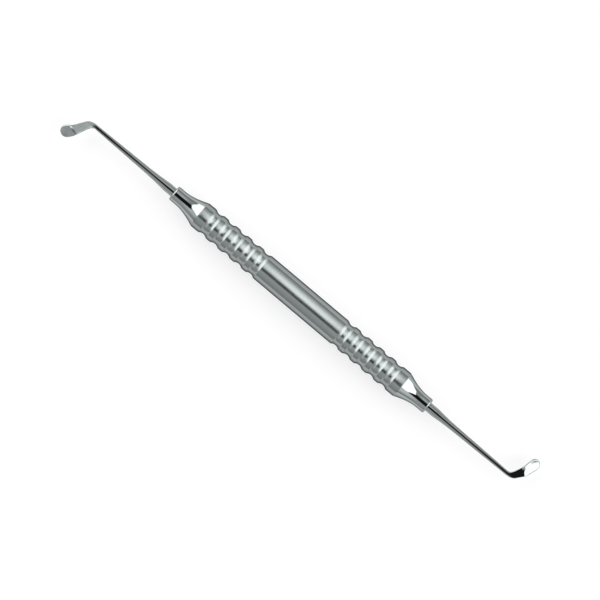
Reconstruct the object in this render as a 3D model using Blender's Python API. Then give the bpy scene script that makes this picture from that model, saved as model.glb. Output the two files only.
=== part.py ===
"""Double-ended sinus lift elevator.

A hollow grooved handle is closed by two turned end cones, and a bent working end is pressed into each cone.
The instrument lies along X, +Z up, with the origin under the middle of its box. Sizes are in metres.
"""

import math

import bmesh
import bpy
from mathutils import Matrix, Vector

MM = 0.001
FIT_GAP = 0.3 * MM

# Handle body: a turned tube with five finger grooves towards each end
HANDLE_DIAMETER = 9.0 * MM
HANDLE_BORE_DIAMETER = 6.0 * MM
MIDDLE_LENGTH = 31.28 * MM
GROOVES_PER_SIDE = 5
GROOVE_WIDTH = 3.0 * MM
GROOVE_DEPTH = 0.59 * MM
LAND_LENGTH = 1.77 * MM
END_LAND_LENGTH = 3.23 * MM
END_CHAMFER = 0.1 * MM
HANDLE_SIDES = 28  # few enough for a flat wide enough to lie on
GROOVE_STEPS = 8

# End cones: a spigot inside the body, a hollow-sided flare and a straight neck
CONE_BASE_DIAMETER = 8.8 * MM
FLARE_LENGTH = 7.6 * MM
FLARE_CURVE = 1.75
NECK_DIAMETER = 5.06 * MM
NECK_LENGTH = 2.75 * MM
NECK_EDGE_RADIUS = 0.35 * MM
SPIGOT_LENGTH = 6.0 * MM
SPIGOT_CHAMFER = 0.4 * MM
CONE_SIDES = 56
FLARE_STEPS = 10
EDGE_STEPS = 3

# Working ends: a round shank that tapers, bends and is forged flat into a dished blade
BEND_DISTANCE = 165.45 * MM  # from one bend to the other, which sets how long the instrument is
SHANK_DIAMETER = 2.97 * MM
TANG_LENGTH = 14.0 * MM
TANG_CHAMFER = 0.3 * MM
SHANK_STRAIGHT = 3.0 * MM
SHOULDER_LENGTH = 8.2 * MM
SHOULDER_DROP = 0.32 * MM
BEND_START_DIAMETER = 1.34 * MM
BEND_RADIUS = 3.2 * MM
NECK_START_THICKNESS = 1.05 * MM
CREASE_THICKNESS = 0.8 * MM
BLADE_THICKNESS = 0.7 * MM
RIM_THICKNESS = 0.2 * MM
RIM_BEVEL = 0.35 * MM
EDGE_BREAK = 0.15 * MM
SHOULDER_STEPS = 5
BEND_STEPS = 8
FORGED_STEPS = 3
CREASE_STEPS = 4
SIDE_STEPS = 3
TIP_STEPS = 6
LAST_TIP_ANGLE = 86.0
LEAST_FACE_SHARE = 0.4

# A section's points on each face and each edge, and the arcs that they take in degrees when it is round
FACE_POINTS = 9
EDGE_POINTS = 3
FACE_ARC = 120.0
EDGE_ARC = 30.0

# What sets the two blades apart
ROUND_BLADE = {
    "bend_shift": -0.175 * MM,
    "bend": 62.2,
    "roll": 20.0,
    "neck_length": 4.1 * MM,
    "neck_start_width": 2.35 * MM,
    "crease_width": 3.22 * MM,
    "crease_length": 1.0 * MM,
    "yaw": -15.0,
    "pitch": 34.0,
    "twist": -26.0,
    "length": 4.45 * MM,
    "width": 3.9 * MM,
    "dish_depth": 0.14 * MM,
}
LONG_BLADE = {
    "bend_shift": 0.175 * MM,
    "bend": 58.0,
    "roll": 0.0,
    "neck_length": 2.3 * MM,
    "neck_start_width": 2.35 * MM,
    "crease_width": 3.0 * MM,
    "crease_length": 1.1 * MM,
    "yaw": 14.0,
    "pitch": 15.0,
    "twist": 26.0,
    "length": 6.1 * MM,
    "width": 3.75 * MM,
    "dish_depth": 0.1 * MM,
}

# Colours and roughness of the two finishes
SATIN_COLOUR = (0.50, 0.53, 0.52)
SATIN_ROUGHNESS = 0.28
POLISHED_COLOUR = (0.60, 0.63, 0.62)
POLISHED_ROUGHNESS = 0.07

# Lengths that follow from the sizes above
GROOVE_PITCH = GROOVE_WIDTH + LAND_LENGTH
GROOVED_LENGTH = GROOVES_PER_SIDE * GROOVE_WIDTH + (GROOVES_PER_SIDE - 1) * LAND_LENGTH
HALF_BODY = MIDDLE_LENGTH / 2 + GROOVED_LENGTH + END_LAND_LENGTH
CONE_LENGTH = FLARE_LENGTH + NECK_LENGTH
CONE_BORE_RADIUS = SHANK_DIAMETER / 2 + FIT_GAP
SPIGOT_RADIUS = HANDLE_BORE_DIAMETER / 2 - FIT_GAP
MOUTH_TO_BEND = BEND_DISTANCE / 2 - HALF_BODY - CONE_LENGTH


def between(start, end, steps):
    """Evenly spaced values from just after start up to end."""
    return [start + (end - start) * (i + 1) / steps for i in range(steps)]


def mix(start, end, share):
    """The value a share of the way from start to end."""
    return start + (end - start) * share


def ease(share):
    """Eases a share in and out, level at both ends."""
    return share * share * (3 - 2 * share)


def new_object(name, bm, material):
    """Makes an object from a bmesh, with its faces pointing outwards and its round sides shaded smooth."""
    bmesh.ops.recalc_face_normals(bm, faces=bm.faces)
    mesh = bpy.data.meshes.new(name)
    bm.to_mesh(mesh)
    bm.free()
    mesh.shade_smooth()
    mesh.set_sharp_from_angle(angle=math.radians(30))
    mesh.materials.append(material)
    piece = bpy.data.objects.new(name, mesh)
    bpy.context.scene.collection.objects.link(piece)
    return piece


def steel(name, colour=POLISHED_COLOUR, roughness=POLISHED_ROUGHNESS):
    """A bare stainless steel with its own colour and roughness."""
    material = bpy.data.materials.new(name)
    material.use_nodes = True
    shader = material.node_tree.nodes["Principled BSDF"]
    shader.inputs["Base Color"].default_value = (*colour, 1.0)
    shader.inputs["Metallic"].default_value = 1.0
    shader.inputs["Roughness"].default_value = roughness
    material.diffuse_color = (*colour, 1.0)
    return material


def turn(name, outline, sides, material):
    """Turns a closed outline of (x, radius) points about X, with one flat side straight down."""
    bm = bmesh.new()
    corners = [bm.verts.new((x, 0.0, -radius)) for x, radius in outline]
    edges = [bm.edges.new((corners[i - 1], corners[i])) for i in range(len(corners))]
    half_side = Matrix.Rotation(math.pi / sides, 3, "X")
    bmesh.ops.rotate(bm, cent=(0, 0, 0), matrix=half_side, verts=corners)
    bmesh.ops.spin(
        bm, geom=corners + edges, cent=(0, 0, 0), axis=(1, 0, 0), dvec=(0, 0, 0),
        angle=math.tau, steps=sides, use_merge=True,
    )
    return new_object(name, bm, material)


def groove(centre):
    """A finger groove's round hollow, as (x, radius) points from its inner edge to its outer edge."""
    half_width = GROOVE_WIDTH / 2
    arc_radius = (half_width**2 + GROOVE_DEPTH**2) / (2 * GROOVE_DEPTH)
    reach = math.asin(half_width / arc_radius)
    arc_centre = HANDLE_DIAMETER / 2 - GROOVE_DEPTH + arc_radius
    angles = [-reach] + between(-reach, reach, GROOVE_STEPS)
    return [(centre + arc_radius * math.sin(a), arc_centre - arc_radius * math.cos(a)) for a in angles]


def half_body_outline():
    """The body's outer line from its middle to its end, as (x, radius) points."""
    points = []
    for i in range(GROOVES_PER_SIDE):
        points += groove(MIDDLE_LENGTH / 2 + GROOVE_WIDTH / 2 + i * GROOVE_PITCH)
    radius = HANDLE_DIAMETER / 2
    end = HALF_BODY - FIT_GAP / 2
    return points + [(end - END_CHAMFER, radius), (end, radius - END_CHAMFER)]


def make_handle_body(material):
    """The hollow grooved tube."""
    bore = HANDLE_BORE_DIAMETER / 2
    half = half_body_outline()
    end = half[-1][0]
    mirrored = [(-x, radius) for x, radius in reversed(half)]
    return turn("handle_body", mirrored + half + [(end, bore), (-end, bore)], HANDLE_SIDES, material)


def cone_outline():
    """An end cone's outline, with x measured outwards from the joint with the body."""
    base = CONE_BASE_DIAMETER / 2
    neck = NECK_DIAMETER / 2
    shoulder = FIT_GAP / 2
    points = [(shoulder, base)]
    for x in between(shoulder, FLARE_LENGTH, FLARE_STEPS):
        share = (x - shoulder) / (FLARE_LENGTH - shoulder)
        points.append((x, mix(neck, base, (1 - share) ** FLARE_CURVE)))
    points.append((CONE_LENGTH - NECK_EDGE_RADIUS, neck))
    for angle in between(0, math.pi / 2, EDGE_STEPS):
        x = CONE_LENGTH - NECK_EDGE_RADIUS * (1 - math.sin(angle))
        points.append((x, neck - NECK_EDGE_RADIUS * (1 - math.cos(angle))))
    points.append((CONE_LENGTH, CONE_BORE_RADIUS))
    points.append((-SPIGOT_LENGTH, CONE_BORE_RADIUS))
    points.append((-SPIGOT_LENGTH, SPIGOT_RADIUS - SPIGOT_CHAMFER))
    points.append((-SPIGOT_LENGTH + SPIGOT_CHAMFER, SPIGOT_RADIUS))
    points.append((shoulder, SPIGOT_RADIUS))
    return points


def shank_radius(x, bend_start):
    """The round shank's radius, at a distance x outwards from the neck's mouth."""
    if x <= SHANK_STRAIGHT:
        return SHANK_DIAMETER / 2
    tapered = SHANK_DIAMETER / 2 - SHOULDER_DROP
    share = (x - SHANK_STRAIGHT) / (bend_start - SHANK_STRAIGHT)
    shoulder_share = min((x - SHANK_STRAIGHT) / SHOULDER_LENGTH, 1)
    return mix(tapered, BEND_START_DIAMETER / 2, share) + SHOULDER_DROP * (1 - shoulder_share) ** 2


def round_section(width, thickness):
    """A round or oval section, as (across, up) points that match flat_section one to one."""
    points = []
    for middle, arc, count in (
        (90, FACE_ARC, FACE_POINTS), (180, EDGE_ARC, EDGE_POINTS),
        (270, FACE_ARC, FACE_POINTS), (360, EDGE_ARC, EDGE_POINTS),
    ):
        start = middle - arc / 2
        for angle in [start] + between(start, start + arc, count - 1):
            a = math.radians(angle)
            points.append((width / 2 * math.cos(a), thickness / 2 * math.sin(a)))
    return points


def flat_section(half_width, half_face, edge, top, bottom):
    """A forged section: an upper and a lower face with a thin edge at each side, as (across, up) points."""
    face = [half_face] + between(half_face, -half_face, FACE_POINTS - 1)
    rim = [edge / 2] + between(edge / 2, -edge / 2, EDGE_POINTS - 1)
    upper = [(u, top(u)) for u in face]
    lower = [(u, bottom(u)) for u in reversed(face)]
    left = [(-half_width, v) for v in rim]
    right = [(half_width, v) for v in reversed(rim)]
    return upper + left + lower + right


def blend_sections(first, second, share):
    """The section a share of the way from one section to another."""
    return [(mix(a[0], b[0], share), mix(a[1], b[1], share)) for a, b in zip(first, second)]


def neck_section(width, thickness):
    """The flat neck between the bend and the blade, with broken edges."""
    return flat_section(
        width / 2, width / 2 - EDGE_BREAK, thickness - 2 * EDGE_BREAK,
        lambda u: thickness / 2, lambda u: -thickness / 2,
    )


def blade_section(blade, x):
    """The blade's section at a distance x from the crease: dished above, flat below, with a bevelled rim."""
    tip_radius = blade["width"] / 2
    centre = blade["length"] - tip_radius
    past_crease = ease(min(x / blade["crease_length"], 1))
    thickness = mix(CREASE_THICKNESS, BLADE_THICKNESS, past_crease)
    bevel_drop = (thickness - RIM_THICKNESS) / 2
    if x <= centre:
        bevel = mix(EDGE_BREAK, RIM_BEVEL, past_crease)
        half_width = mix(blade["crease_width"], blade["width"], math.sin(math.pi / 2 * x / centre)) / 2
        half_face = half_width - bevel
    else:
        bevel = RIM_BEVEL
        half_width = math.sqrt(tip_radius**2 - (x - centre) ** 2)
        face_left = math.sqrt(max((tip_radius - bevel) ** 2 - (x - centre) ** 2, 0))
        half_face = max(face_left, half_width * LEAST_FACE_SHARE)

    def fall(u):
        """How far the bevel has dropped at a distance u across."""
        inset = half_width - abs(u) if x <= centre else tip_radius - math.hypot(x - centre, u)
        return bevel_drop * (1 - min(max(inset / bevel, 0), 1))

    def dish(u):
        """How deep the upper face is hollowed at a distance u across."""
        reach = math.hypot(x - centre, u) / (tip_radius - bevel)
        return blade["dish_depth"] * max(1 - reach**2, 0)

    return flat_section(
        half_width, half_face, RIM_THICKNESS,
        lambda u: thickness / 2 - fall(u) - dish(u), lambda u: fall(u) - thickness / 2,
    )


def shank_stations(blade):
    """The round part's places and sections, from the tang's inner end to the bend."""
    bend_start = MOUTH_TO_BEND + blade["bend_shift"]
    radius = SHANK_DIAMETER / 2
    stations = [(-TANG_LENGTH, radius - TANG_CHAMFER), (-TANG_LENGTH + TANG_CHAMFER, radius)]
    shoulder_end = SHANK_STRAIGHT + SHOULDER_LENGTH
    for x in [0, SHANK_STRAIGHT] + between(SHANK_STRAIGHT, shoulder_end, SHOULDER_STEPS):
        stations.append((x, shank_radius(x, bend_start)))
    stations.append((bend_start, shank_radius(bend_start, bend_start)))
    return [(Matrix.Translation((x, 0, 0)), round_section(2 * r, 2 * r)) for x, r in stations]


def bend_stations(blade):
    """The bend's places and sections, where the round shank is forged into the flat neck."""
    bend_start = MOUTH_TO_BEND + blade["bend_shift"]
    stations = []
    for share in between(0, 1, BEND_STEPS):
        angle = math.radians(blade["bend"]) * share
        bend_centre = Matrix.Translation((bend_start, BEND_RADIUS, 0))
        place = bend_centre @ Matrix.Rotation(angle, 4, "Z") @ Matrix.Translation((0, -BEND_RADIUS, 0))
        width = mix(BEND_START_DIAMETER, blade["neck_start_width"], ease(share))
        thickness = mix(BEND_START_DIAMETER, NECK_START_THICKNESS, ease(share))
        section = blend_sections(round_section(width, thickness), neck_section(width, thickness), ease(share))
        stations.append((place, section))
    return stations


def blade_stations(blade, neck_start):
    """The neck's and the blade's places and sections, from the end of the bend to the tip."""
    stations = []
    for share in between(0, 1, FORGED_STEPS):
        place = neck_start @ Matrix.Translation((blade["neck_length"] * share, 0, 0))
        width = mix(blade["neck_start_width"], blade["crease_width"], share)
        thickness = mix(NECK_START_THICKNESS, CREASE_THICKNESS, share)
        stations.append((place, neck_section(width, thickness)))
    crease = stations[-1][0]
    yaw, pitch, twist = (math.radians(blade[turn_name]) for turn_name in ("yaw", "pitch", "twist"))
    centre = blade["length"] - blade["width"] / 2
    crease_length = blade["crease_length"]
    reaches = between(0, crease_length, CREASE_STEPS) + between(crease_length, centre, SIDE_STEPS)
    tip_angles = between(0, math.radians(LAST_TIP_ANGLE), TIP_STEPS)
    reaches += [centre + blade["width"] / 2 * math.sin(angle) for angle in tip_angles]
    place = crease
    previous = 0
    turned = 0
    for x in reaches:
        now = ease(min(x / crease_length, 1))
        step = now - turned
        turned = now
        place = place @ Matrix.Rotation(yaw * step, 4, "Z") @ Matrix.Rotation(pitch * step, 4, "Y")
        place = place @ Matrix.Rotation(twist * step, 4, "X") @ Matrix.Translation((x - previous, 0, 0))
        previous = x
        stations.append((place, blade_section(blade, x)))
    return stations


def draw_out(bm, end_face, place, section):
    """Extrudes the solid's end face and gives it the next section's outline."""
    end_face = bmesh.ops.extrude_discrete_faces(bm, faces=[end_face])["faces"][0]
    for corner, (across, up) in zip(end_face.verts, section):
        corner.co = place @ Vector((0, across, up))
    return end_face


def make_working_end(name, blade, material):
    """A working end along +X from the neck's mouth, drawn out section by section from its tang."""
    stations = shank_stations(blade) + bend_stations(blade)
    stations += blade_stations(blade, stations[-1][0])
    bm = bmesh.new()
    place, section = stations[0]
    end_face = bm.faces.new([bm.verts.new(place @ Vector((0, across, up))) for across, up in section])
    for place, section in stations[1:]:
        end_face = draw_out(bm, end_face, place, section)
    bmesh.ops.holes_fill(bm, edges=[edge for edge in bm.edges if edge.is_boundary])
    return new_object(name, bm, material)


def stand_at(piece, carrier, x, roll=0.0, turned=False):
    """Puts a piece on the instrument's line at x, rolled about that line and turned end for end if asked."""
    piece.parent = carrier
    facing = Matrix.Rotation(math.pi if turned else 0.0, 4, "Z")
    placed = Matrix.Translation((-x if turned else x, 0, 0)) @ facing @ Matrix.Rotation(roll, 4, "X")
    piece.matrix_local = placed


def centre_on_origin(carrier, pieces):
    """Moves the whole instrument so that the origin is under the middle of its box."""
    bpy.context.view_layer.update()
    corners = [piece.matrix_world @ vertex.co for piece in pieces for vertex in piece.data.vertices]
    low = Vector([min(corner[i] for corner in corners) for i in range(3)])
    high = Vector([max(corner[i] for corner in corners) for i in range(3)])
    carrier.location -= Vector(((low.x + high.x) / 2, (low.y + high.y) / 2, low.z))
    bpy.context.view_layer.update()


def main():
    for old in list(bpy.data.objects):
        bpy.data.objects.remove(old, do_unlink=True)

    carrier = bpy.data.objects.new("instrument", None)
    bpy.context.scene.collection.objects.link(carrier)

    body = make_handle_body(steel("handle_satin_steel", SATIN_COLOUR, SATIN_ROUGHNESS))
    stand_at(body, carrier, 0)

    left_steel = steel("left_cone_polished_steel")
    right_steel = steel("right_cone_polished_steel")
    left_cone = turn("end_cone_left", cone_outline(), CONE_SIDES, left_steel)
    right_cone = turn("end_cone_right", cone_outline(), CONE_SIDES, right_steel)
    stand_at(left_cone, carrier, HALF_BODY, turned=True)
    stand_at(right_cone, carrier, HALF_BODY)

    round_end = make_working_end("round_working_end", ROUND_BLADE, steel("round_end_polished_steel"))
    long_end = make_working_end("long_working_end", LONG_BLADE, steel("long_end_polished_steel"))
    mouth = HALF_BODY + CONE_LENGTH
    stand_at(round_end, carrier, mouth, math.radians(ROUND_BLADE["roll"]), turned=True)
    stand_at(long_end, carrier, mouth, math.radians(LONG_BLADE["roll"]))

    centre_on_origin(carrier, [body, left_cone, right_cone, round_end, long_end])


main()
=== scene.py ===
"""Studio view of a double-ended sinus lift elevator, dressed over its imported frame.

Each CAD node is replaced by a finer piece of the same form: the satin turned handle, the two mirror-polished
end cones and the two forged and polished working ends. Sizes are in metres.
"""

import math

import bmesh
import bpy
from mathutils import Matrix, Vector


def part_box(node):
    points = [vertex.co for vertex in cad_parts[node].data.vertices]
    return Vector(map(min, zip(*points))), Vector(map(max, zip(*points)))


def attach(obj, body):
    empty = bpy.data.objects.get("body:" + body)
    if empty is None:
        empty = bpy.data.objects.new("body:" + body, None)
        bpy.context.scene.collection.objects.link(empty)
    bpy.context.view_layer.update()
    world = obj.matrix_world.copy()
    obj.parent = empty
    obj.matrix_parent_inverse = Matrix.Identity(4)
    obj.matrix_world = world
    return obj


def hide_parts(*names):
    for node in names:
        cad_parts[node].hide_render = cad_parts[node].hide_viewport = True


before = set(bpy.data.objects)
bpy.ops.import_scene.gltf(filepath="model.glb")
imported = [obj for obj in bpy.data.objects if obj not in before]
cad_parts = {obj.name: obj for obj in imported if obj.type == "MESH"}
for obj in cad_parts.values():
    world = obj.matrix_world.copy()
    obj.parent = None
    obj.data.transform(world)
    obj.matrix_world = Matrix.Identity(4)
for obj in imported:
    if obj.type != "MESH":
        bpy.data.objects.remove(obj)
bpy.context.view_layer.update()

MM = 0.001

# Handle body, measured from its middle
HANDLE_DIAMETER = 9.0 * MM
HANDLE_BORE_DIAMETER = 6.0 * MM
MIDDLE_LENGTH = 31.28 * MM
GROOVES_PER_SIDE = 5
GROOVE_WIDTH = 3.0 * MM
GROOVE_DEPTH = 0.59 * MM
LAND_LENGTH = 1.77 * MM
END_LAND_LENGTH = 3.23 * MM
END_CHAMFER = 0.1 * MM
LAND_EDGE_BREAK = 0.05 * MM

# End cones, measured outwards from their joint with the body
CONE_BASE_DIAMETER = 8.8 * MM
FLARE_LENGTH = 7.6 * MM
FLARE_CURVE = 1.75
NECK_DIAMETER = 5.06 * MM
NECK_LENGTH = 2.75 * MM
NECK_EDGE_RADIUS = 0.55 * MM
SPIGOT_LENGTH = 6.0 * MM
SPIGOT_DIAMETER = 5.4 * MM
SEAM_WIDTH = 0.08 * MM
MOUTH_GAP = 0.02 * MM
CONE_EDGE_BREAK = 0.04 * MM

# Working ends, measured outwards from the cone's mouth, apart from the distance from bend to bend
BEND_DISTANCE = 165.45 * MM
SHANK_DIAMETER = 2.97 * MM
TANG_LENGTH = 14.0 * MM
TANG_CHAMFER = 0.3 * MM
SHANK_STRAIGHT = 3.0 * MM
SHOULDER_LENGTH = 8.2 * MM
SHOULDER_DROP = 0.32 * MM
BEND_START_DIAMETER = 1.34 * MM
BEND_RADIUS = 3.2 * MM
NECK_START_THICKNESS = 1.05 * MM
CREASE_THICKNESS = 0.8 * MM
BLADE_THICKNESS = 0.7 * MM
RIM_THICKNESS = 0.2 * MM
RIM_BEVEL = 0.35 * MM
EDGE_BREAK = 0.15 * MM
LAST_TIP_ANGLE = 88.5
LEAST_FACE_SHARE = 0.4

# How square the shank gets by the bend, where 1 is round, and how late along it that happens
BEND_START_POWER = 0.6
FORGING_POWER = 1.6

# How fine the meshes are
TURNED_SIDES = 192
CONE_SIDES = 160
GROOVE_STEPS = 16
FLARE_STEPS = 40
EDGE_STEPS = 8
BREAK_STEPS = 3
SHOULDER_STEPS = 24
BEND_STEPS = 40
FORGED_STEPS = 12
CREASE_STEPS = 20
SIDE_STEPS = 20
TIP_STEPS = 24
FACE_POINTS = 25
CORNER_POINTS = 5
EDGE_POINTS = 5

# Round sections in degrees: where the face's middle lies, and the arcs of face, corner and edge
FACE_MIDDLE = 90.0
FACE_ARC = 110.0
CORNER_ARC = 20.0
EDGE_ARC = 30.0

# Edges that turn by less are shaded smooth, and edges that turn by more are rounded, in degrees
SMOOTH_BELOW = 35.0
SOFTEN_ABOVE = 25.0

# What sets the two blades apart
ROUND_BLADE = {
    "bend_shift": -0.175 * MM,
    "bend": 62.2,
    "roll": 20.0,
    "neck_length": 4.1 * MM,
    "neck_start_width": 2.35 * MM,
    "crease_width": 3.22 * MM,
    "crease_length": 1.0 * MM,
    "yaw": -15.0,
    "pitch": 34.0,
    "twist": -26.0,
    "length": 4.45 * MM,
    "width": 3.9 * MM,
    "dish_depth": 0.14 * MM,
}
LONG_BLADE = {
    "bend_shift": 0.175 * MM,
    "bend": 58.0,
    "roll": 0.0,
    "neck_length": 2.3 * MM,
    "neck_start_width": 2.35 * MM,
    "crease_width": 3.0 * MM,
    "crease_length": 1.1 * MM,
    "yaw": 14.0,
    "pitch": 15.0,
    "twist": 26.0,
    "length": 6.1 * MM,
    "width": 3.75 * MM,
    "dish_depth": 0.1 * MM,
}

# Studio: the camera, the floor and the lights, with the horizon's soft edge as a height above it
PICTURE_TURN = math.radians(40.09)
PICTURE_SPAN = 185.34 * MM
PICTURE_PIXELS = 600
HANDLE_MIDDLE_PIXEL = (301.0, 299.6)
LENS = 500.0
SENSOR = 36.0
FLOOR_RADIUS = 9.0
FLOOR_SIDES = 64
FLOOR_COLOUR = (0.33, 0.33, 0.33)
FLOOR_OWN_LIGHT = 0.67
HORIZON_STRENGTH = 0.98
HORIZON_EDGE = (0.012, 0.02)
SOFTBOX_STRENGTH = 2.8
LOW_WALL_STRENGTH = 0.35
HIGH_WALL_STRENGTH = 0.48
CEILING_STRENGTH = 0.015
STRIP_LIGHT_RADIUS = 150.0 * MM
STRIP_LIGHT_LENGTH = 88.0 * MM
STRIP_LIGHT_ARC = (-9.0, 88.0)
STRIP_LIGHT_STEPS = 24
STRIP_LIGHT_STRENGTH = 2.3

# Where across the strip light its brightness rises and falls, as shares of its radius
STRIP_LIGHT_RISE = (-0.14, 0.27)
STRIP_LIGHT_FALL = (0.36, 1.2)

# Directions: the photograph's right and up on the floor, along and across the handle, and the sky
RIGHT = Vector((math.cos(PICTURE_TURN), math.sin(PICTURE_TURN), 0))
UP = Vector((-math.sin(PICTURE_TURN), math.cos(PICTURE_TURN), 0))
ALONG = Vector((1, 0, 0))
ACROSS = Vector((0, 1, 0))
SKY = Vector((0, 0, 1))

# The room's walls get brighter between two heights, and brighter still towards the lower left
WALL_HEIGHTS = (0.1, 0.6)
LOWER_LEFT = -RIGHT - 0.6 * UP
LOWER_LEFT_REACH = (-0.2, 0.7)
LOWER_LEFT_GAIN = 1.25

# Soft round glows in the room: the way to each, its reach in degrees and its strength
GLOWS = (
    (0.33 * RIGHT + 0.53 * UP + 0.79 * SKY, 22.0, 0.36),
    (0.21 * RIGHT - 0.76 * UP + 0.61 * SKY, 32.0, 0.5),
    (-0.72 * RIGHT + 0.08 * UP + 0.69 * SKY, 28.0, 0.3),
)

# The edges of a patch of sky, each as a way that points from the edge into the patch
EDGE_SOFTNESS = 0.05
DARK_STRIP_EDGES = (
    0.45 * SKY + ACROSS,
    0.45 * SKY - ACROSS,
    0.75 * SKY + ALONG,
    0.75 * SKY - ALONG,
)
UPPER_SOFTBOX_EDGES = (
    UP - RIGHT - 0.9 * SKY,
    UP - 0.15 * RIGHT - 0.44 * SKY,
    UP - 2.05 * RIGHT - 1.12 * SKY,
    UP - 4.0 * RIGHT - 1.12 * SKY,
)
UPPER_SOFTBOX_END = UP + 0.1 * RIGHT
UPPER_END_SOFTNESS = 0.15
LOWER_SOFTBOX_EDGES = (
    RIGHT - 0.2 * UP - 0.472 * SKY,
    0.75 * RIGHT - UP - 0.405 * SKY,
    0.43 * RIGHT - UP,
)
LOWER_SOFTBOX_END = 0.55 * RIGHT + UP + 0.95 * SKY
LOWER_END_SOFTNESS = 0.2

# Plain colours, and the tint that darkens steel towards its outline
WHITE = (1.0, 1.0, 1.0, 1.0)
BLACK = (0.0, 0.0, 0.0, 1.0)
EDGE_TINT = BLACK

# The satin finish of the handle
SATIN_COLOUR = (0.33, 0.361, 0.357)
SATIN_LINES_PER_METRE = 9000.0
SATIN_TONE_SPREAD = 0.06
SATIN_ROUGHNESS = (0.24, 0.27)
SATIN_STRETCH = 0.85
SATIN_STRETCH_TURN = 0.25
SATIN_BUMP_STRENGTH = 0.15
SATIN_LINE_HEIGHT = 0.004 * MM

# The mirror polish of the cones and working ends, finished softer by hand past the bends
POLISHED_COLOUR = (0.39, 0.425, 0.42)
CONE_LINES_PER_METRE = 6000.0
BLADE_LINES_PER_METRE = 2500.0
POLISHED_TONE_SPREAD = 0.14
POLISHED_ROUGHNESS = 0.06
ROUND_BLADE_ROUGHNESS = 0.34
LONG_BLADE_ROUGHNESS = 0.12
ROUGHNESS_CHANGE = (0.8, 1.2)
GRAIN_CONTRAST = (0.25, 2.0)
SOFTER_FROM = 81.0 * MM
SOFTER_OVER = 3.0 * MM

# The noises that the finishes are made from, and the range that most of their values lie in
LINE_DETAIL = 3.0
CLOUD_DETAIL = 2.0
PATCH_SCALE = 220.0
GRAIN_SCALE = 1400.0
NOISE_RANGE = (0.2, 0.8)

# Places that follow from the frame
HANDLE_LOW, HANDLE_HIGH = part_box("handle_body")
HANDLE_MIDDLE = (Vector(HANDLE_LOW) + Vector(HANDLE_HIGH)) / 2

GROOVE_PITCH = GROOVE_WIDTH + LAND_LENGTH
GROOVED_LENGTH = GROOVES_PER_SIDE * GROOVE_WIDTH + (GROOVES_PER_SIDE - 1) * LAND_LENGTH
HALF_BODY = MIDDLE_LENGTH / 2 + GROOVED_LENGTH + END_LAND_LENGTH
CONE_LENGTH = FLARE_LENGTH + NECK_LENGTH
MOUTH_TO_BEND = BEND_DISTANCE / 2 - HALF_BODY - CONE_LENGTH


def between(start, end, steps):
    """Evenly spaced values from just after start up to end."""
    return [start + (end - start) * (i + 1) / steps for i in range(steps)]


def mix(start, end, share):
    """The value a share of the way from start to end."""
    return start + (end - start) * share


def ease(share):
    """Eases a share in and out, level at both ends."""
    return share * share * (3 - 2 * share)


def on_line(x=0.0, turned=False, roll=0.0):
    """The place of a piece that stands x out along the handle's line, turned end for end if asked."""
    facing = Matrix.Rotation(math.pi if turned else 0.0, 4, "Z")
    along = Matrix.Translation((-x if turned else x, 0, 0))
    return Matrix.Translation(HANDLE_MIDDLE) @ along @ facing @ Matrix.Rotation(roll, 4, "X")


def new_object(name, bm, material):
    """Puts a bmesh into the scene as an object with one material."""
    mesh = bpy.data.meshes.new(name)
    bm.to_mesh(mesh)
    bm.free()
    mesh.materials.append(material)
    made = bpy.data.objects.new(name, mesh)
    bpy.context.scene.collection.objects.link(made)
    return made


def finish_piece(name, bm, place, material, node):
    """Makes a finished piece from a bmesh, rides it on the frame and lets it stand for its CAD node."""
    bmesh.ops.transform(bm, matrix=place, verts=bm.verts)
    bmesh.ops.recalc_face_normals(bm, faces=bm.faces)
    piece = new_object(name, bm, material)
    piece.data.shade_smooth()
    piece.data.set_sharp_from_angle(angle=math.radians(SMOOTH_BELOW))
    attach(piece, "root")
    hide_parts(node)


def soften_edges(bm, offset):
    """Rounds every sharp edge of a solid."""
    sharp = [
        edge for edge in bm.edges
        if len(edge.link_faces) == 2 and edge.calc_face_angle() > math.radians(SOFTEN_ABOVE)
    ]
    bmesh.ops.bevel(
        bm, geom=sharp, offset=offset, segments=BREAK_STEPS, profile=0.5,
        affect="EDGES", material=-1, clamp_overlap=True,
    )


def spin_outline(outline, sides):
    """Turns a closed outline of (x, radius) points about X."""
    bm = bmesh.new()
    corners = [bm.verts.new((x, 0.0, -radius)) for x, radius in outline]
    edges = [bm.edges.new((corners[i - 1], corners[i])) for i in range(len(corners))]
    bmesh.ops.spin(
        bm, geom=corners + edges, cent=(0, 0, 0), axis=(1, 0, 0), dvec=(0, 0, 0),
        angle=math.tau, steps=sides, use_merge=True,
    )
    bmesh.ops.recalc_face_normals(bm, faces=bm.faces)
    return bm


def groove(centre):
    """A finger groove's round hollow, as (x, radius) points from its inner edge to its outer edge."""
    half_width = GROOVE_WIDTH / 2
    arc_radius = (half_width**2 + GROOVE_DEPTH**2) / (2 * GROOVE_DEPTH)
    reach = math.asin(half_width / arc_radius)
    arc_centre = HANDLE_DIAMETER / 2 - GROOVE_DEPTH + arc_radius
    angles = [-reach] + between(-reach, reach, GROOVE_STEPS)
    return [(centre + arc_radius * math.sin(a), arc_centre - arc_radius * math.cos(a)) for a in angles]


def half_handle_outline():
    """The handle's outer line from its middle to its end face."""
    points = []
    for i in range(GROOVES_PER_SIDE):
        points += groove(MIDDLE_LENGTH / 2 + GROOVE_WIDTH / 2 + i * GROOVE_PITCH)
    radius = HANDLE_DIAMETER / 2
    end = HALF_BODY - SEAM_WIDTH / 2
    return points + [(end - END_CHAMFER, radius), (end, radius - END_CHAMFER)]


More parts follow.
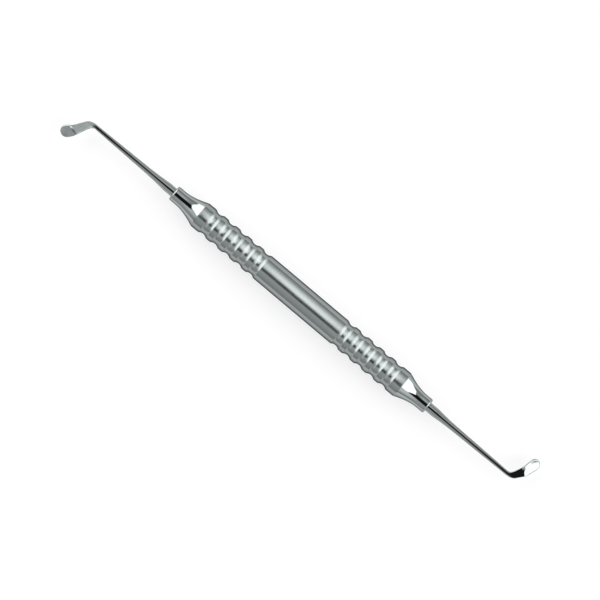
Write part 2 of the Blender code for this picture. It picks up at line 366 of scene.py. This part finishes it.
def make_handle(material):
    """The hollow handle with its finger grooves."""
    half = half_handle_outline()
    end = half[-1][0]
    bore = HANDLE_BORE_DIAMETER / 2
    mirrored = [(-x, radius) for x, radius in reversed(half)]
    bm = spin_outline(mirrored + half + [(end, bore), (-end, bore)], TURNED_SIDES)
    soften_edges(bm, LAND_EDGE_BREAK)
    finish_piece("grooved_handle", bm, on_line(), material, "handle_body")


def cone_outline():
    """An end cone's outline, with its spigot and the bore that holds the tang."""
    base = CONE_BASE_DIAMETER / 2
    neck = NECK_DIAMETER / 2
    foot = SEAM_WIDTH / 2
    points = [(foot, base)]
    for x in between(foot, FLARE_LENGTH, FLARE_STEPS):
        share = (x - foot) / (FLARE_LENGTH - foot)
        points.append((x, mix(neck, base, (1 - share) ** FLARE_CURVE)))
    points.append((CONE_LENGTH - NECK_EDGE_RADIUS, neck))
    for angle in between(0, math.pi / 2, EDGE_STEPS):
        x = CONE_LENGTH - NECK_EDGE_RADIUS * (1 - math.sin(angle))
        points.append((x, neck - NECK_EDGE_RADIUS * (1 - math.cos(angle))))
    bore = SHANK_DIAMETER / 2 + MOUTH_GAP
    return points + [
        (CONE_LENGTH, bore), (-SPIGOT_LENGTH, bore),
        (-SPIGOT_LENGTH, SPIGOT_DIAMETER / 2), (foot, SPIGOT_DIAMETER / 2),
    ]


def make_cone(name, node, turned, material):
    """One of the two end cones."""
    bm = spin_outline(cone_outline(), CONE_SIDES)
    soften_edges(bm, CONE_EDGE_BREAK)
    finish_piece(name, bm, on_line(HALF_BODY, turned), material, node)


def shank_radius(x, bend_start):
    """The round shank's radius, at a distance x outwards from the neck's mouth."""
    if x <= SHANK_STRAIGHT:
        return SHANK_DIAMETER / 2
    tapered = SHANK_DIAMETER / 2 - SHOULDER_DROP
    share = (x - SHANK_STRAIGHT) / (bend_start - SHANK_STRAIGHT)
    shoulder_share = min((x - SHANK_STRAIGHT) / SHOULDER_LENGTH, 1)
    return mix(tapered, BEND_START_DIAMETER / 2, share) + SHOULDER_DROP * (1 - shoulder_share) ** 2


def round_section(width, thickness, power):
    """A round or oval section, squarer as its power falls, with its points in the order of flat_section's."""
    def reach(value):
        return math.copysign(abs(value) ** power, value)

    points = []
    start = FACE_MIDDLE - FACE_ARC / 2
    corner = (CORNER_ARC, CORNER_POINTS)
    for arc, count in ((FACE_ARC, FACE_POINTS), corner, (EDGE_ARC, EDGE_POINTS), corner) * 2:
        for angle in between(start, start + arc, count):
            a = math.radians(angle)
            points.append((width / 2 * reach(math.cos(a)), thickness / 2 * reach(math.sin(a))))
        start += arc
    return points


def corner_curve(start, end, turn):
    """A quarter round from start to end, which leaves start along the face and meets end along the edge."""
    points = []
    for share in between(0, 1, CORNER_POINTS):
        a = share * math.pi / 2
        across, up = (math.sin(a), 1 - math.cos(a)) if turn > 0 else (1 - math.cos(a), math.sin(a))
        points.append((mix(start[0], end[0], across), mix(start[1], end[1], up)))
    return points


def flat_section(half_width, half_face, edge, top, bottom):
    """A forged section with rounded corners, as (across, up) points anticlockwise from the right corner."""
    face = between(half_face, -half_face, FACE_POINTS)
    upper = [(u, top(u)) for u in face]
    lower = [(-u, bottom(-u)) for u in face]
    left_rim = [(-half_width, v) for v in between(edge / 2, -edge / 2, EDGE_POINTS)]
    right_rim = [(half_width, v) for v in between(-edge / 2, edge / 2, EDGE_POINTS)]
    left_top = corner_curve(upper[-1], (-half_width, edge / 2), 1)
    left_low = corner_curve(left_rim[-1], (-half_face, bottom(-half_face)), -1)
    right_low = corner_curve(lower[-1], (half_width, -edge / 2), 1)
    right_top = corner_curve(right_rim[-1], (half_face, top(half_face)), -1)
    return upper + left_top + left_rim + left_low + lower + right_low + right_rim + right_top


def blend_sections(first, second, share):
    """The section a share of the way from one section to another."""
    return [(mix(a[0], b[0], share), mix(a[1], b[1], share)) for a, b in zip(first, second)]


def neck_section(width, thickness):
    """The flat neck between the bend and the blade, with rounded edges."""
    return flat_section(
        width / 2, width / 2 - EDGE_BREAK, thickness - 2 * EDGE_BREAK,
        lambda u: thickness / 2, lambda u: -thickness / 2,
    )


def blade_section(blade, x):
    """The blade's section at a distance x from the crease: dished above, flat below, thinned to a rim."""
    tip_radius = blade["width"] / 2
    centre = blade["length"] - tip_radius
    past_crease = ease(min(x / blade["crease_length"], 1))
    thickness = mix(CREASE_THICKNESS, BLADE_THICKNESS, past_crease)
    if x <= centre:
        bevel = mix(EDGE_BREAK, RIM_BEVEL, past_crease)
        half_width = mix(blade["crease_width"], blade["width"], math.sin(math.pi / 2 * x / centre)) / 2
        half_face = half_width - bevel
    else:
        bevel = RIM_BEVEL
        half_width = math.sqrt(tip_radius**2 - (x - centre) ** 2)
        face_left = math.sqrt(max((tip_radius - bevel) ** 2 - (x - centre) ** 2, 0))
        half_face = max(face_left, half_width * LEAST_FACE_SHARE)
    bevel_drop = (thickness - RIM_THICKNESS) / 2

    def fall(u):
        """How far the bevel has dropped at a distance u across."""
        inset = half_width - abs(u) if x <= centre else tip_radius - math.hypot(x - centre, u)
        return bevel_drop * (1 - min(max(inset / bevel, 0), 1))

    def dish(u):
        """How deep the upper face is hollowed at a distance u across."""
        reach = math.hypot(x - centre, u) / (tip_radius - bevel)
        return blade["dish_depth"] * max(1 - reach**2, 0)

    return flat_section(
        half_width, half_face, RIM_THICKNESS,
        lambda u: thickness / 2 - fall(u) - dish(u), lambda u: fall(u) - thickness / 2,
    )


def shank_stations(blade):
    """The round part's places and sections, from the tang's inner end to the bend."""
    bend_start = MOUTH_TO_BEND + blade["bend_shift"]
    radius = SHANK_DIAMETER / 2
    stations = [(-TANG_LENGTH, radius - TANG_CHAMFER), (-TANG_LENGTH + TANG_CHAMFER, radius)]
    shoulder_end = SHANK_STRAIGHT + SHOULDER_LENGTH
    for x in [0, SHANK_STRAIGHT] + between(SHANK_STRAIGHT, shoulder_end, SHOULDER_STEPS):
        stations.append((x, shank_radius(x, bend_start)))
    for x in between(shoulder_end, bend_start, SHOULDER_STEPS):
        stations.append((x, shank_radius(x, bend_start)))
    face_up = Matrix.Rotation(math.radians(-blade["roll"]), 4, "X")
    sections = []
    for x, r in stations:
        forged = max(x - SHANK_STRAIGHT, 0) / (bend_start - SHANK_STRAIGHT)
        section = round_section(2 * r, 2 * r, mix(1, BEND_START_POWER, forged**FORGING_POWER))
        sections.append((Matrix.Translation((x, 0, 0)) @ face_up, section))
    return sections


def bend_stations(blade):
    """The bend's places and sections, where the round shank is forged into the flat neck."""
    bend_start = MOUTH_TO_BEND + blade["bend_shift"]
    stations = []
    for share in between(0, 1, BEND_STEPS):
        angle = math.radians(blade["bend"]) * share
        bend_centre = Matrix.Translation((bend_start, BEND_RADIUS, 0))
        place = bend_centre @ Matrix.Rotation(angle, 4, "Z") @ Matrix.Translation((0, -BEND_RADIUS, 0))
        place = place @ Matrix.Rotation(math.radians(-blade["roll"]) * (1 - share) ** 2, 4, "X")
        width = mix(BEND_START_DIAMETER, blade["neck_start_width"], ease(share))
        thickness = mix(BEND_START_DIAMETER, NECK_START_THICKNESS, ease(share))
        forged = round_section(width, thickness, BEND_START_POWER)
        stations.append((place, blend_sections(forged, neck_section(width, thickness), ease(share))))
    return stations


def blade_stations(blade, neck_start):
    """The neck's and the blade's places and sections, from the end of the bend to the tip."""
    stations = []
    for share in between(0, 1, FORGED_STEPS):
        place = neck_start @ Matrix.Translation((blade["neck_length"] * share, 0, 0))
        width = mix(blade["neck_start_width"], blade["crease_width"], share)
        thickness = mix(NECK_START_THICKNESS, CREASE_THICKNESS, share)
        stations.append((place, neck_section(width, thickness)))
    yaw, pitch, twist = (math.radians(blade[turn_name]) for turn_name in ("yaw", "pitch", "twist"))
    centre = blade["length"] - blade["width"] / 2
    crease_length = blade["crease_length"]
    reaches = between(0, crease_length, CREASE_STEPS) + between(crease_length, centre, SIDE_STEPS)
    tip_angles = between(0, math.radians(LAST_TIP_ANGLE), TIP_STEPS)
    reaches += [centre + blade["width"] / 2 * math.sin(angle) for angle in tip_angles]
    place = stations[-1][0]
    previous = 0
    turned = 0
    for x in reaches:
        now = min(x / crease_length, 1)
        step = now - turned
        turned = now
        place = place @ Matrix.Rotation(yaw * step, 4, "Z") @ Matrix.Rotation(pitch * step, 4, "Y")
        place = place @ Matrix.Rotation(twist * step, 4, "X") @ Matrix.Translation((x - previous, 0, 0))
        previous = x
        stations.append((place, blade_section(blade, x)))
    return stations


def draw_out(bm, end_face, place, section):
    """Extrudes the solid's end face and gives it the next section's outline."""
    end_face = bmesh.ops.extrude_discrete_faces(bm, faces=[end_face])["faces"][0]
    for corner, (across, up) in zip(end_face.verts, section):
        corner.co = place @ Vector((0, across, up))
    return end_face


def make_working_end(name, node, blade, turned, material):
    """A working end, drawn out section by section from its tang to its tip."""
    stations = shank_stations(blade) + bend_stations(blade)
    stations += blade_stations(blade, stations[-1][0])
    bm = bmesh.new()
    place, section = stations[0]
    end_face = bm.faces.new([bm.verts.new(place @ Vector((0, across, up))) for across, up in section])
    for place, section in stations[1:]:
        end_face = draw_out(bm, end_face, place, section)
    bmesh.ops.holes_fill(bm, edges=[edge for edge in bm.edges if edge.is_boundary])
    stand = on_line(HALF_BODY + CONE_LENGTH, turned, math.radians(blade["roll"]))
    finish_piece(name, bm, stand, material, node)


def add(tree, kind, **settings):
    """Adds a shader node and sets its properties."""
    node = tree.nodes.new(kind)
    for setting, value in settings.items():
        setattr(node, setting, value)
    return node


def feed(tree, node, socket, value):
    """Sets a socket, or links it when the value is another node's output."""
    target = node.inputs[socket]
    if isinstance(value, bpy.types.NodeSocket):
        tree.links.new(value, target)
    else:
        target.default_value = value


def calculate(tree, operation, first, second=0.0):
    """A Math node's result."""
    node = add(tree, "ShaderNodeMath", operation=operation)
    feed(tree, node, 0, first)
    feed(tree, node, 1, second)
    return node.outputs[0]


def ramp(tree, value, low, high, start=0.0, end=1.0):
    """A value eased from start to end while the given value goes from low to high."""
    node = add(tree, "ShaderNodeMapRange", interpolation_type="SMOOTHSTEP")
    for socket, setting in (("Value", value), ("From Min", low), ("From Max", high)):
        feed(tree, node, socket, setting)
    feed(tree, node, "To Min", start)
    feed(tree, node, "To Max", end)
    return node.outputs[0]


def towards(tree, direction, way):
    """How far a direction leans towards a given way, as the cosine between them."""
    node = add(tree, "ShaderNodeVectorMath", operation="DOT_PRODUCT")
    feed(tree, node, 0, direction)
    feed(tree, node, 1, way.normalized())
    return node.outputs["Value"]


def distance_along(tree, axis):
    """How far a point of the surface lies along one of the piece's axes."""
    split = add(tree, "ShaderNodeSeparateXYZ")
    feed(tree, split, 0, add(tree, "ShaderNodeTexCoord").outputs["Object"])
    return split.outputs[axis]


def cloud(tree, scale):
    """A cloudy value over the surface, finer as its scale grows."""
    node = add(tree, "ShaderNodeTexNoise", noise_dimensions="3D")
    feed(tree, node, "Vector", add(tree, "ShaderNodeTexCoord").outputs["Object"])
    feed(tree, node, "Scale", scale)
    feed(tree, node, "Detail", CLOUD_DETAIL)
    return node.outputs["Fac"]


def turned_lines_group():
    """The marks of finishing: lines round the piece, which change along X only, patches and grain."""
    group = bpy.data.node_groups.new("turned_lines", "ShaderNodeTree")
    group.interface.new_socket("Lines per metre", in_out="INPUT", socket_type="NodeSocketFloat")
    for output_name in ("Lines", "Patches", "Grain"):
        group.interface.new_socket(output_name, in_out="OUTPUT", socket_type="NodeSocketFloat")
    start = add(group, "NodeGroupInput")
    end = add(group, "NodeGroupOutput")
    lines = add(group, "ShaderNodeTexNoise", noise_dimensions="1D")
    feed(group, lines, "W", calculate(group, "MULTIPLY", distance_along(group, "X"), start.outputs[0]))
    feed(group, lines, "Scale", 1.0)
    feed(group, lines, "Detail", LINE_DETAIL)
    feed(group, end, 0, lines.outputs["Fac"])
    feed(group, end, 1, cloud(group, PATCH_SCALE))
    feed(group, end, 2, cloud(group, GRAIN_SCALE))
    return group


def new_material(name):
    """A new material, with its node tree and its shader."""
    material = bpy.data.materials.new(name)
    material.use_nodes = True
    return material, material.node_tree, material.node_tree.nodes["Principled BSDF"]


def new_steel(name, colour):
    """A bare steel material with its shader, and with its colour for the viewport."""
    material, tree, shader = new_material(name)
    material.diffuse_color = (*colour, 1.0)
    feed(tree, shader, "Metallic", 1.0)
    feed(tree, shader, "Specular Tint", EDGE_TINT)
    return material, tree, shader


def steel_tone(tree, share, colour, spread):
    """The steel's colour, from a little darker to a little lighter by a changing share."""
    node = add(tree, "ShaderNodeMix", data_type="RGBA")
    feed(tree, node, "Factor", share)
    for socket, amount in (("A", 1 - spread), ("B", 1 + spread)):
        feed(tree, node, socket, (*(channel * amount for channel in colour), 1.0))
    return node.outputs["Result"]


def satin_steel(lines_group):
    """Turned stainless steel with a fine satin finish, whose tool lines run round the handle."""
    material, tree, shader = new_steel("satin_turned_steel", SATIN_COLOUR)
    lines = add(tree, "ShaderNodeGroup", node_tree=lines_group)
    feed(tree, lines, "Lines per metre", SATIN_LINES_PER_METRE)
    tangent = add(tree, "ShaderNodeTangent", direction_type="RADIAL", axis="X")
    feed(tree, shader, "Tangent", tangent.outputs[0])
    feed(tree, shader, "Anisotropic", SATIN_STRETCH)
    feed(tree, shader, "Anisotropic Rotation", SATIN_STRETCH_TURN)
    tone = steel_tone(tree, lines.outputs["Lines"], SATIN_COLOUR, SATIN_TONE_SPREAD)
    feed(tree, shader, "Base Color", tone)
    feed(tree, shader, "Roughness", ramp(tree, lines.outputs["Patches"], *NOISE_RANGE, *SATIN_ROUGHNESS))
    bump = add(tree, "ShaderNodeBump")
    feed(tree, bump, "Strength", SATIN_BUMP_STRENGTH)
    feed(tree, bump, "Distance", SATIN_LINE_HEIGHT)
    feed(tree, bump, "Height", lines.outputs["Lines"])
    feed(tree, shader, "Normal", bump.outputs[0])
    return material


def polished_steel(name, lines_group, lines_per_metre, roughness_past_bend):
    """Mirror-polished stainless steel with faint marks of the mop, and softer past the bends."""
    material, tree, shader = new_steel(name, POLISHED_COLOUR)
    lines = add(tree, "ShaderNodeGroup", node_tree=lines_group)
    feed(tree, lines, "Lines per metre", lines_per_metre)
    outwards = calculate(tree, "ABSOLUTE", distance_along(tree, "X"))
    softer = (SOFTER_FROM, SOFTER_FROM + SOFTER_OVER)
    contrast = ramp(tree, outwards, *softer, *GRAIN_CONTRAST)
    grain = calculate(tree, "SUBTRACT", lines.outputs["Grain"], 0.5)
    grain = calculate(tree, "ADD", calculate(tree, "MULTIPLY", grain, contrast), 0.5)
    feed(tree, shader, "Base Color", steel_tone(tree, grain, POLISHED_COLOUR, POLISHED_TONE_SPREAD))
    base = ramp(tree, outwards, *softer, POLISHED_ROUGHNESS, roughness_past_bend)
    change = ramp(tree, lines.outputs["Lines"], *NOISE_RANGE, *ROUGHNESS_CHANGE)
    feed(tree, shader, "Roughness", calculate(tree, "MULTIPLY", base, change))
    return material


def make_floor():
    """The white floor, which shows part of its light by itself, so that the shadows on it are soft."""
    material, tree, shader = new_material("pale_floor")
    feed(tree, shader, "Base Color", (*FLOOR_COLOUR, 1.0))
    feed(tree, shader, "Roughness", 1.0)
    feed(tree, shader, "Specular IOR Level", 0.0)
    feed(tree, shader, "Emission Color", WHITE)
    ray = add(tree, "ShaderNodeLightPath").outputs
    mirrored = calculate(tree, "MAXIMUM", ray["Is Glossy Ray"], ray["Is Transmission Ray"])
    seen = calculate(tree, "MAXIMUM", ray["Is Camera Ray"], mirrored)
    feed(tree, shader, "Emission Strength", calculate(tree, "MULTIPLY", seen, FLOOR_OWN_LIGHT))
    bm = bmesh.new()
    bmesh.ops.create_circle(bm, cap_ends=True, radius=FLOOR_RADIUS, segments=FLOOR_SIDES)
    floor = new_object("floor", bm, material)
    floor.location.z = HANDLE_MIDDLE.z - HANDLE_DIAMETER / 2


def patch(tree, direction, edges, softness=EDGE_SOFTNESS):
    """A patch of the sky inside straight edges, each a way that points from the edge into the patch."""
    inside = 1.0
    for way in edges:
        inside = calculate(tree, "MULTIPLY", ramp(tree, towards(tree, direction, way), 0.0, softness), inside)
    return inside


def glow(tree, direction, way, reach, strength):
    """A soft round patch of light, centred on a way and reaching out by so many degrees."""
    edge = math.cos(math.radians(reach))
    return ramp(tree, towards(tree, direction, way), edge, 1.0, 0.0, strength)


def room_light(tree, direction):
    """Grey walls, lighter towards the lower left, with glows and a dark strip overhead along the handle."""
    height = towards(tree, direction, SKY)
    walls = ramp(tree, height, *WALL_HEIGHTS, LOW_WALL_STRENGTH, HIGH_WALL_STRENGTH)
    lower_left = towards(tree, direction, LOWER_LEFT)
    gain = ramp(tree, lower_left, *LOWER_LEFT_REACH, 1.0, LOWER_LEFT_GAIN)
    walls = calculate(tree, "MULTIPLY", walls, gain)
    for way, reach, strength in GLOWS:
        walls = calculate(tree, "ADD", walls, glow(tree, direction, way, reach, strength))
    strip = patch(tree, direction, DARK_STRIP_EDGES)
    return calculate(tree, "MULTIPLY", walls, calculate(tree, "SUBTRACT", 1.0, strip))


def softboxes(tree, direction):
    """The two large softboxes, at the upper left and at the lower right of the picture."""
    upper_left = patch(tree, direction, UPPER_SOFTBOX_EDGES)
    upper_end = patch(tree, direction, [UPPER_SOFTBOX_END], UPPER_END_SOFTNESS)
    lower_right = patch(tree, direction, LOWER_SOFTBOX_EDGES)
    lower_end = patch(tree, direction, [LOWER_SOFTBOX_END], LOWER_END_SOFTNESS)
    upper_left = calculate(tree, "MULTIPLY", upper_left, upper_end)
    lower_right = calculate(tree, "MULTIPLY", lower_right, lower_end)
    return calculate(tree, "MULTIPLY", calculate(tree, "MAXIMUM", upper_left, lower_right), SOFTBOX_STRENGTH)


def make_studio():
    """The studio's light round the instrument, and below the horizon the floor's white."""
    world = bpy.data.worlds.new("studio")
    world.use_nodes = True
    bpy.context.scene.world = world
    tree = world.node_tree
    background = tree.nodes["Background"]
    feed(tree, background, "Color", WHITE)
    direction = add(tree, "ShaderNodeTexCoord").outputs["Generated"]
    lit = calculate(tree, "MAXIMUM", room_light(tree, direction), softboxes(tree, direction))
    lit = calculate(tree, "ADD", lit, CEILING_STRENGTH)
    above = ramp(tree, towards(tree, direction, SKY), *HORIZON_EDGE)
    below = calculate(tree, "MULTIPLY", calculate(tree, "SUBTRACT", 1.0, above), HORIZON_STRENGTH)
    feed(tree, background, "Strength", calculate(tree, "ADD", calculate(tree, "MULTIPLY", lit, above), below))


def strip_light_material():
    """A black sheet that shines, brighter and then dimmer across it."""
    material, tree, shader = new_material("strip_light")
    feed(tree, shader, "Base Color", BLACK)
    feed(tree, shader, "Specular IOR Level", 0.0)
    feed(tree, shader, "Emission Color", WHITE)
    across = distance_along(tree, "Y")
    rise_from, rise_to = (share * STRIP_LIGHT_RADIUS for share in STRIP_LIGHT_RISE)
    fall_from, fall_to = (share * STRIP_LIGHT_RADIUS for share in STRIP_LIGHT_FALL)
    rise = ramp(tree, across, rise_from, rise_to)
    fall = ramp(tree, across, fall_from, fall_to, STRIP_LIGHT_STRENGTH, 0.0)
    feed(tree, shader, "Emission Strength", calculate(tree, "MULTIPLY", rise, fall))
    return material


def make_strip_light():
    """A strip light bowed over the handle, met only by mirrored rays, for the line of light along it."""
    bm = bmesh.new()
    rows = []
    arc_start, arc_end = (math.radians(angle) for angle in STRIP_LIGHT_ARC)
    for angle in between(arc_start, arc_end, STRIP_LIGHT_STEPS):
        y, z = STRIP_LIGHT_RADIUS * math.sin(angle), STRIP_LIGHT_RADIUS * math.cos(angle)
        rows.append([bm.verts.new((x, y, z)) for x in (-STRIP_LIGHT_LENGTH / 2, STRIP_LIGHT_LENGTH / 2)])
    for first, second in zip(rows, rows[1:]):
        bm.faces.new((first[0], first[1], second[1], second[0]))
    light = new_object("strip_light", bm, strip_light_material())
    light.location = HANDLE_MIDDLE
    light.visible_camera = False
    light.visible_diffuse = False
    light.visible_shadow = False


def make_camera():
    """A long lens straight above the instrument, turned so that the handle runs down to the right."""
    data = bpy.data.cameras.new("camera")
    data.lens = LENS
    data.sensor_width = SENSOR
    camera = bpy.data.objects.new("camera", data)
    pixel = PICTURE_SPAN / PICTURE_PIXELS
    off_right = (PICTURE_PIXELS / 2 - HANDLE_MIDDLE_PIXEL[0]) * pixel
    off_up = (HANDLE_MIDDLE_PIXEL[1] - PICTURE_PIXELS / 2) * pixel
    height = PICTURE_SPAN * LENS / SENSOR
    camera.location = HANDLE_MIDDLE + RIGHT * off_right + UP * off_up + SKY * height
    camera.rotation_euler = (0, 0, PICTURE_TURN)
    bpy.context.scene.collection.objects.link(camera)
    bpy.context.scene.camera = camera


def main():
    """Makes the instrument, then the floor, the light and the camera."""
    bpy.context.scene.view_settings.view_transform = "Standard"
    lines_group = turned_lines_group()
    satin = satin_steel(lines_group)
    cone_steel = polished_steel("polished_cone_steel", lines_group, CONE_LINES_PER_METRE, POLISHED_ROUGHNESS)
    blade_finish = (lines_group, BLADE_LINES_PER_METRE)
    round_steel = polished_steel("round_blade_steel", *blade_finish, ROUND_BLADE_ROUGHNESS)
    long_steel = polished_steel("long_blade_steel", *blade_finish, LONG_BLADE_ROUGHNESS)

    make_handle(satin)
    make_cone("left_end_cone", "end_cone_left", True, cone_steel)
    make_cone("right_end_cone", "end_cone_right", False, cone_steel)
    make_working_end("round_blade_end", "round_working_end", ROUND_BLADE, True, round_steel)
    make_working_end("long_blade_end", "long_working_end", LONG_BLADE, False, long_steel)

    make_floor()
    make_studio()
    make_strip_light()
    make_camera()


main()
